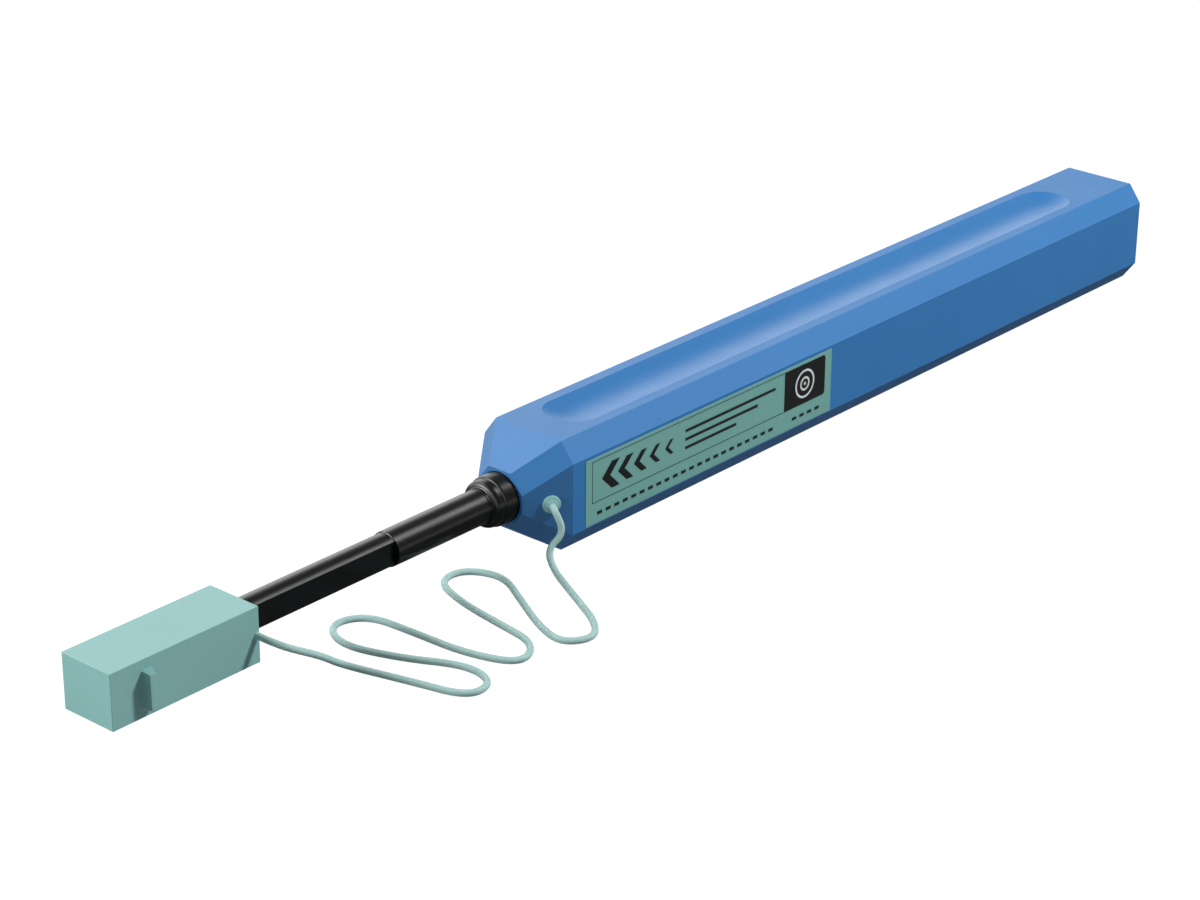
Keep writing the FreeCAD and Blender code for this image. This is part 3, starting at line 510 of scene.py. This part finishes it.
# %% [markdown]
# The cap is a square moulded polypropylene box with a keyed socket behind and a grip rib near
# its front on each side. Each rib is a box with its rear outer edge drawn in to a ramp, so
# that a finger pushes against its steep side. The ribs reach a little into the box, because a
# union of faces that only touch can fail.

# %% Cap
CAP_FRONT, CAP_BACK, CAP_WIDE, CAP_TALL, CAP_DROP = -96.6, -66.9, 10.8, 9.6, 0.75
SOCKET_DEEP, SLACK = 23.4, 0.06
RIB_FRONT, RIB_BACK, RIB_CREST, RIB_OUT = -90.57, -88.34, 1.19, 2.0
RIB_LOW, RIB_HIGH, RIB_ROOT = -3.87, 2.25, 0.2

cap = brick("cap_box", (CAP_FRONT, -CAP_WIDE / 2, -CAP_TALL / 2 - CAP_DROP),
            (CAP_BACK, CAP_WIDE / 2, CAP_TALL / 2 - CAP_DROP))
rib_back_x, rib_crest_x = at(RIB_BACK, 0, 0).x, at(RIB_FRONT + RIB_CREST, 0, 0).x
for side in (1, -1):
    inner, outer = side * (CAP_WIDE / 2 - RIB_ROOT), side * (CAP_WIDE / 2 + RIB_OUT)
    rib = brick("grip_rib", (RIB_FRONT, min(inner, outer), RIB_LOW),
                (RIB_BACK, max(inner, outer), RIB_HIGH))
    for vertex in rib.data.vertices:
        if abs(vertex.co.y - outer * MM) < 1e-6 and abs(vertex.co.x - rib_back_x) < 1e-6:
            vertex.co.x = rib_crest_x
    cut(cap, rib, "UNION")
socket_y, socket_z = FLAT_HALF + SLACK, TIP_TUBE + SLACK
cut(cap, brick("cap_socket", (CAP_BACK - SOCKET_DEEP, -socket_y, -socket_z),
               (CAP_BACK + 1, socket_y, socket_z)))
soften(cap, 0.10, angle=25)
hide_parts("cap")
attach(cap, "cap")
count_faces(cap)

# %% [markdown]
# The tether's button is a small rivet pushed into the nose. It is turned about the pen's axis
# first, where a lathe profile is easy to write, and then stood at its place, facing out of
# the slanting side.

# %% Tether button
BUTTON = [(0.0, 1.58), (-0.26, 1.58), (-0.38, 1.53), (-0.45, 1.42), (-0.52, 1.2), (-0.62, 1.0),
          (-0.76, 0.84), (-0.87, 0.7), (-0.90, 0.60), (-0.90, 0.0), (2.4, 0.0), (2.4, 0.9),
          (0.0, 0.9)]
button = turned("tether_rivet", BUTTON + BUTTON[:1], 64)
lean = math.atan2(BUTTON_OUT.y, BUTTON_OUT.x) - math.pi
button.data.transform(Matrix.Translation(at(*BUTTON_FOOT)) @ Matrix.Rotation(lean, 4, "Z")
                      @ Matrix.Translation(-at(0, 0, 0)))
smooth_below(button, 35)
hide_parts("tether_button")
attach(button, "housing")
count_faces(button)

# %% [markdown]
# The label is a thin polyester film stuck to the housing's side. A thin box is enough for it,
# with its edges taken off so that they show as a faint line.

# %% Label film
FILM, INK = 0.1, 0.012
FILM_FACE = -WIDE / 2 - FILM
film = brick("label_film", (3.15, FILM_FACE, -6.25), (70.3, -WIDE / 2, 5.9))
soften(film, 0.03, segments=1, angle=30)
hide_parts("label")
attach(film, "housing")
count_faces(film)

# %% [markdown]
# Screen-printed ink stands a hundredth of a millimetre proud, so the print is made of thin
# patches on the film: a border, a dark panel, chevrons that point the way the pen is pushed,
# and plain bars and ticks where other labels have writing. No words are printed. An outline
# becomes a patch when its face is extruded down to the film.

# %% Label dark print
BORDER_LEFT, BORDER_RIGHT, BORDER_LOW, BORDER_HIGH, LINE = 4.75, 56.5, -2.35, 5.35, 0.13
PANEL_LEFT, PANEL_RIGHT, CORNER, CORNER_IN = 56.6, 68.4, 0.6, 0.18
MIDDLE = (BORDER_LOW + BORDER_HIGH) / 2
TICK_LOW, TICK_HIGH, TICK, TICK_STEP = -4.75, -4.15, 1.3, 2.2


def printed(name, low, high):
    """A rectangle of ink: low and high are (x, z)."""
    return brick(name, (low[0], FILM_FACE - INK, low[1]), (high[0], FILM_FACE, high[1]))


def printed_shape(name, outline, raised=INK):
    """A patch of ink with any outline, given as (x, z) points."""
    corners = [at(x, FILM_FACE - raised, z) for x, z in outline]
    piece = drawn(name, corners, [], [range(len(outline))])
    edit_all(piece)
    bpy.ops.mesh.extrude_region_move(TRANSFORM_OT_translate={"value": (0, raised * MM, 0)})
    bpy.ops.mesh.select_all(action="SELECT")
    bpy.ops.mesh.normals_make_consistent(inside=False)
    leave_edit()
    return piece


def join(name, first, *others):
    """Make one piece of several."""
    make_active(first)
    for piece in others:
        piece.select_set(True)
    bpy.ops.object.join()
    first.name = name
    return first


border = [printed("border", low, high) for low, high in (
    ((BORDER_LEFT, BORDER_HIGH - LINE), (BORDER_RIGHT, BORDER_HIGH)),
    ((BORDER_LEFT, BORDER_LOW), (BORDER_RIGHT, BORDER_LOW + LINE)),
    ((BORDER_LEFT, BORDER_LOW), (BORDER_LEFT + LINE, BORDER_HIGH)))]
panel = printed_shape("panel", [
    (PANEL_LEFT, BORDER_HIGH), (PANEL_LEFT, BORDER_LOW), (PANEL_RIGHT - CORNER, BORDER_LOW),
    (PANEL_RIGHT - CORNER_IN, BORDER_LOW + CORNER_IN), (PANEL_RIGHT, BORDER_LOW + CORNER),
    (PANEL_RIGHT, BORDER_HIGH - CORNER), (PANEL_RIGHT - CORNER_IN, BORDER_HIGH - CORNER_IN),
    (PANEL_RIGHT - CORNER, BORDER_HIGH)])
chevrons = []
for index in range(5):
    tip, arm, thick = 7.2 + 4.1 * index, 2.5 - 0.28 * index, 2.1 - 0.3 * index
    chevrons.append(printed_shape("chevron", [
        (tip, MIDDLE), (tip + arm, MIDDLE + arm), (tip + arm + thick, MIDDLE + arm),
        (tip + thick, MIDDLE), (tip + arm + thick, MIDDLE - arm), (tip + arm, MIDDLE - arm)]))
bars = [printed("bar", (29.0, MIDDLE - 0.28 + rise), (bar_end, MIDDLE + 0.28 + rise))
        for rise, bar_end in ((1.6, 54.0), (0.0, 49.0), (-1.6, 43.0))]
ticks = [printed("tick", (left + TICK_STEP * i, TICK_LOW),
                 (left + TICK + TICK_STEP * i, TICK_HIGH))
         for left, count in ((6.0, 22), (59.0, 4)) for i in range(count)]
dark_ink = join("label_dark_print", panel, *border, *chevrons, *bars, *ticks)
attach(dark_ink, "housing")
count_faces(dark_ink)

# %% [markdown]
# The panel carries a sign for a fibre's end face, printed over the dark ink in a light grey:
# two rings and a dot. Each ring's outline runs round the outside and back round the inside,
# so that it is a single face.

# %% Label light print
SIGN_X = (PANEL_LEFT + PANEL_RIGHT) / 2


def ring(outer, inner, x, z, turns=64):
    """The outline of a ring cut along one radius."""
    angles = [2 * math.pi * i / turns for i in range(turns + 1)]
    edge = [(x + outer * math.cos(a), z + outer * math.sin(a)) for a in angles]
    hole = [(x + inner * math.cos(a), z + inner * math.sin(a)) for a in reversed(angles)]
    return edge + hole


light_ink = join("label_light_print", *[
    printed_shape("sign", ring(outer, inner, SIGN_X, MIDDLE), 2 * INK)
    for outer, inner in ((2.75, 2.35), (1.35, 0.95), (0.3, 0.001))])
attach(light_ink, "housing")
count_faces(light_ink)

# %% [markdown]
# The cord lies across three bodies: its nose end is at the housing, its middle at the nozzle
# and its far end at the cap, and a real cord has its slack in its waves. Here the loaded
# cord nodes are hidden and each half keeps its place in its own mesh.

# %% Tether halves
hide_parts("tether_front")
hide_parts("tether_rear")
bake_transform(tether_nose)
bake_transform(tether_cap)
print("tether: %.1f mm in all" % ((nose_run + cap_run) / MM))

# %% [markdown]
# Every finish is worked out in nodes on object coordinates, so that a pattern has its real
# size on each piece and moves with it. A colour is written as a hex code, which is sRGB, and
# a shader wants linear values, so one helper turns it. Another adds a node with its settings
# and links. The rest are the three ways a moulded or ground surface varies: in its colour, in
# its grain and in its gloss.

# %% Finish helpers


def linear(code):
    """An sRGB hex colour as linear red, green, blue and full alpha."""
    parts = [int(code[i:i + 2], 16) / 255 for i in (1, 3, 5)]
    return (*[p / 12.92 if p <= 0.04045 else ((p + 0.055) / 1.055) ** 2.4 for p in parts], 1.0)


def add(tree, kind, links=(), **settings):
    """Add a node; settings are its properties or its inputs, links are (input, output)."""
    node = tree.nodes.new(kind)
    for name, value in settings.items():
        if hasattr(node, name):
            setattr(node, name, value)
        else:
            node.inputs[name.replace("_", " ")].default_value = value
    for name, source in links:
        tree.links.new(node.inputs[name], source)
    return node


def new_finish(name, **surface):
    """A material with one Principled surface and object coordinates for its patterns."""
    finish = bpy.data.materials.new(name)
    finish.use_nodes = True
    shader = finish.node_tree.nodes["Principled BSDF"]
    for socket, value in surface.items():
        shader.inputs[socket.replace("_", " ")].default_value = value
    add(finish.node_tree, "ShaderNodeTexCoord", name="place")
    return finish


def open_finish(finish):
    """The tree, the surface and the object coordinates of a finish."""
    tree = finish.node_tree
    return tree, tree.nodes["Principled BSDF"], tree.nodes["place"].outputs["Object"]


def two_tone(finish, dark, light, patch):
    """Slow drift between two close colours over patches of that size in millimetres."""
    tree, shader, place = open_finish(finish)
    noise = add(tree, "ShaderNodeTexNoise", [("Vector", place)], Scale=1 / (patch * MM), Detail=3.0)
    blend = add(tree, "ShaderNodeMix", [("Factor", noise.outputs["Fac"])], data_type="RGBA")
    colours = [socket for socket in blend.inputs if socket.type == "RGBA"]
    colours[0].default_value = linear(dark)
    colours[1].default_value = linear(light)
    result = [socket for socket in blend.outputs if socket.type == "RGBA"][0]
    tree.links.new(shader.inputs["Base Color"], result)


def fine_bump(finish, grain, height, strength):
    """Surface grain: its size and its height in millimetres."""
    tree, shader, place = open_finish(finish)
    noise = add(tree, "ShaderNodeTexNoise", [("Vector", place)], Scale=1 / (grain * MM), Detail=2.0)
    bump = add(tree, "ShaderNodeBump", [("Height", noise.outputs["Fac"])], Strength=strength,
               Distance=height * MM)
    tree.links.new(shader.inputs["Normal"], bump.outputs["Normal"])


def vary_roughness(finish, low, high, patch):
    """Gloss that drifts between two roughnesses over patches of that size in millimetres."""
    tree, shader, place = open_finish(finish)
    noise = add(tree, "ShaderNodeTexNoise", [("Vector", place)], Scale=1 / (patch * MM), Detail=4.0)
    spread = add(tree, "ShaderNodeMapRange", [("Value", noise.outputs["Fac"])],
                 To_Min=low, To_Max=high)
    tree.links.new(shader.inputs["Roughness"], spread.outputs["Result"])


# %% [markdown]
# The housing and its plug are ABS, moulded against a spark-eroded mould. That gives the eye
# an even blue with a broad soft sheen on the faces that look up. The spark grain is finer
# than a tenth of a millimetre, so it is drawn coarser here, and very low.

# %% Blue ABS
blue_abs = new_finish("moulded_blue_abs", IOR=1.66, Roughness=0.46)
two_tone(blue_abs, "#236aa6", "#2971ad", 12)
fine_bump(blue_abs, 0.35, 0.01, 0.25)
vary_roughness(blue_abs, 0.42, 0.51, 9)
print("finish:", blue_abs.name)

# %% [markdown]
# The cap and the button are moulded polypropylene, which is milky: a pale teal with little
# contrast between its faces and a weak, wide sheen. Its mould grain is drawn coarser than it
# is, like the housing's.

# %% Teal polypropylene
teal_pp = new_finish("moulded_teal_polypropylene", IOR=1.58, Roughness=0.45)
two_tone(teal_pp, "#7cadaa", "#84b3b0", 8)
fine_bump(teal_pp, 0.3, 0.008, 0.2)
print("finish:", teal_pp.name)

# %% [markdown]
# The nozzle and the collar are turned from black acetal and polished. Nearly all that is seen
# of them is the light that they mirror, in long clear streaks along the tube.

# %% Black acetal
black_acetal = new_finish("polished_black_acetal", IOR=1.45, Roughness=0.3)
two_tone(black_acetal, "#040405", "#070809", 10)
vary_roughness(black_acetal, 0.27, 0.34, 6)
print("finish:", black_acetal.name)

# %% [markdown]
# The label is a satin polyester film. Screen inks dry matt on it, a little duller than the
# film, and are never quite black or white.

# %% Label film and inks
label_film = new_finish("satin_label_film", IOR=1.5, Roughness=0.5)
two_tone(label_film, "#689b95", "#6ea19b", 15)
dark_print = new_finish("black_screen_ink", IOR=1.42, Roughness=0.55)
two_tone(dark_print, "#0f1212", "#141717", 3)
light_print = new_finish("grey_screen_ink", IOR=1.5, Roughness=0.55)
two_tone(light_print, "#c9cfce", "#d3d8d7", 3)
print("finishes:", label_film.name, dark_print.name, light_print.name)

# %% [markdown]
# The tether is soft vinyl, drawn through a die: matt, slightly milky, and paler than the cap
# because it is so thin. The die leaves a faint waviness half a millimetre long.

# %% Vinyl cord
vinyl_cord = new_finish("soft_vinyl_cord", IOR=1.5, Roughness=0.5)
two_tone(vinyl_cord, "#98bbb7", "#a4c4c1", 5)
fine_bump(vinyl_cord, 0.5, 0.006, 0.15)
print("finish:", vinyl_cord.name)

# %% [markdown]
# The inner pieces show when the pen is taken apart: frames and spools of natural and white
# acetal, pins and spring of ground steel, and a thread of microfibre. Ground steel has fine
# patches of brighter and duller metal. The thread is all grain and no gloss, and its grain
# is a tenth of a millimetre here, since single fibres would be too fine to show.

# %% Inner finishes
natural_acetal = new_finish("natural_acetal", IOR=1.48, Roughness=0.4)
two_tone(natural_acetal, "#c4c6c2", "#ced0cc", 6)
fine_bump(natural_acetal, 0.4, 0.01, 0.2)
white_acetal = new_finish("white_acetal", IOR=1.48, Roughness=0.35)
two_tone(white_acetal, "#e4e4de", "#ecece8", 6)
ground_steel = new_finish("ground_steel", Metallic=1.0, Roughness=0.3)
two_tone(ground_steel, "#9d9ea0", "#b0b1b3", 2)
vary_roughness(ground_steel, 0.22, 0.36, 1)
microfibre = new_finish("microfibre_thread", Roughness=0.85)
two_tone(microfibre, "#e6e6e0", "#f2f2ee", 0.5)
fine_bump(microfibre, 0.1, 0.03, 0.6)
print("finishes:", natural_acetal.name, white_acetal.name, ground_steel.name, microfibre.name)

# %% [markdown]
# The modelled pieces get their finishes by name. The nodes that stay as they came each have
# a material slot in the record, which says what they are made of.

# %% Finishes on the pieces
FINISHES = {
    blue_abs: [housing, plug], teal_pp: [cap, button], black_acetal: [nozzle, collar],
    label_film: [film], dark_print: [dark_ink], light_print: [light_ink],
    vinyl_cord: [tether_nose, tether_cap], ground_steel: [spring]}
NODE_FINISHES = {
    "blue_shell": blue_abs, "teal_plastic": teal_pp, "black_plastic": black_acetal,
    "label": label_film, "cord": vinyl_cord, "grey_plastic": natural_acetal,
    "white_plastic": white_acetal, "steel": ground_steel, "thread": microfibre}


def give_finish(piece, finish):
    """Leave the piece with that finish only."""
    piece.data.materials.clear()
    piece.data.materials.append(finish)


for finish, pieces in FINISHES.items():
    for piece in pieces:
        give_finish(piece, finish)
for entry in frame["record"]["subparts"]:
    give_finish(frame["nodes"][entry["node"]], NODE_FINISHES[entry["material_slot"]])

# %% [markdown]
# The pen lies on white paper. The paper is bright where the camera sees it, which comes from
# a glow for camera rays and not from stronger lamps, and it still takes the pen's shadow.
# For glossy rays the paper is a painted glow instead, weak right under the pen and strong far
# behind it, which glossy finishes mirror as they would a sweep of paper rising behind the object.

# %% Floor
FLOOR_SIZE, FLOOR_DROP = 6, 0.0002
GLOW, GLOW_SHARE = 1.18, 0.85
MIRRORED_NEAR, MIRRORED_FAR = 0.08, 1.9
deselect_all()
bpy.ops.mesh.primitive_plane_add(size=FLOOR_SIZE, location=(0, 0, -FLOOR_DROP))
floor = named("floor")
white_paper = new_finish("white_paper", Base_Color=linear("#b0b2b4"), Roughness=0.9)
tree, shader, place = open_finish(white_paper)
rays = add(tree, "ShaderNodeLightPath")
glow = add(tree, "ShaderNodeEmission", Color=(1, 1, 1, 1), Strength=GLOW)
seen = add(tree, "ShaderNodeMath", [(0, rays.outputs["Is Camera Ray"])], operation="MULTIPLY")
seen.inputs[1].default_value = GLOW_SHARE
paper = add(tree, "ShaderNodeMixShader", [
    ("Fac", seen.outputs[0]), (1, shader.outputs["BSDF"]), (2, glow.outputs["Emission"])])
# Painted glow on the paper, seen only in reflections: dim where a mirrored ray meets it steeply,
# bright where it grazes.
grazing = add(tree, "ShaderNodeLayerWeight").outputs["Facing"]
far_off = add(tree, "ShaderNodeMapRange", [("Value", grazing)], From_Min=0.8, From_Max=1.0,
              To_Min=MIRRORED_NEAR, To_Max=MIRRORED_FAR)
mirrored = add(tree, "ShaderNodeEmission", [("Strength", far_off.outputs["Result"])])
surface = add(tree, "ShaderNodeMixShader", [
    ("Fac", rays.outputs["Is Glossy Ray"]), (1, paper.outputs["Shader"]),
    (2, mirrored.outputs["Emission"])])
tree.links.new(tree.nodes["Material Output"].inputs["Surface"], surface.outputs["Shader"])
give_finish(floor, white_paper)
print("floor at z = %.4f m" % floor.data.vertices[0].co.z)

# %% [markdown]
# A small key lamp in front, high on the label's side, lights every face and throws the
# shadows. A wide lamp from the nozzle's far side fills the nose. Both could also be mirrored,
# and the key's reflection would be a hard spot, so the key is hidden from glossy rays. Two
# more lamps are there only to be mirrored: one makes the streaks on the tube, and one behind
# the pen gives the sheen on the faces that look up.

# %% Lamps


def soft_lamp(name, where, size, power, diffuse=True, glossy=True):
    """A rectangular lamp aimed at the origin; metres and watts."""
    data = bpy.data.lights.new(name, "AREA")
    data.energy = power
    data.shape = "RECTANGLE"
    data.size, data.size_y = size
    lamp = bpy.data.objects.new(name, data)
    bpy.context.scene.collection.objects.link(lamp)
    lamp.location = where
    lamp.rotation_euler = (-Vector(where)).to_track_quat("-Z", "Y").to_euler()
    lamp.visible_diffuse = diffuse
    lamp.visible_glossy = glossy
    print("%s: %.2f W" % (name, power))


soft_lamp("key", (0.33, -0.47, 0.69), (0.12, 0.12), 9.0, glossy=False)
soft_lamp("nose_fill", (-0.8, 0.45, 0.32), (0.5, 0.3), 7.8)
soft_lamp("glint", (0.60, -0.36, 0.70), (0.35, 0.4), 2.9, diffuse=False)
soft_lamp("back_box", (-0.11, 0.6, 0.79), (0.4, 0.4), 1.25, diffuse=False)

# %% [markdown]
# The world is white where the camera sees it and adds almost no light of its own. Where it is
# mirrored, it is a bright backdrop behind the pen that falls off overhead and in front. The
# direction of each mirrored ray is compared with the backdrop's by a dot product.

# %% World
BACKDROP_AT, BACKDROP, OVERHEAD, LEFT_OVER = (-0.5, 0.75, -0.67), 2.2, 0.25, 0.05
world = bpy.data.worlds.new("studio")
world.use_nodes = True
bpy.context.scene.world = world
tree = world.node_tree
sky = tree.nodes["Background"]
sky.inputs["Color"].default_value = (1.0, 1.0, 1.0, 1)
rays = add(tree, "ShaderNodeLightPath")
direction = add(tree, "ShaderNodeTexCoord").outputs["Generated"]
behind = add(tree, "ShaderNodeVectorMath", [(0, direction)], operation="DOT_PRODUCT")
behind.inputs[1].default_value = BACKDROP_AT
backdrop = add(tree, "ShaderNodeMapRange", [("Value", behind.outputs["Value"])],
               From_Min=-0.32, From_Max=-0.14, To_Min=OVERHEAD, To_Max=BACKDROP)
unseen = add(tree, "ShaderNodeMapRange", [
    ("Value", rays.outputs["Is Glossy Ray"]), ("To Max", backdrop.outputs["Result"])],
    To_Min=LEFT_OVER)
strength = add(tree, "ShaderNodeMath", [
    (0, rays.outputs["Is Camera Ray"]), (1, unseen.outputs["Result"])], operation="MAXIMUM")
tree.links.new(sky.inputs["Strength"], strength.outputs["Value"])
print("world: %d nodes" % len(tree.nodes))
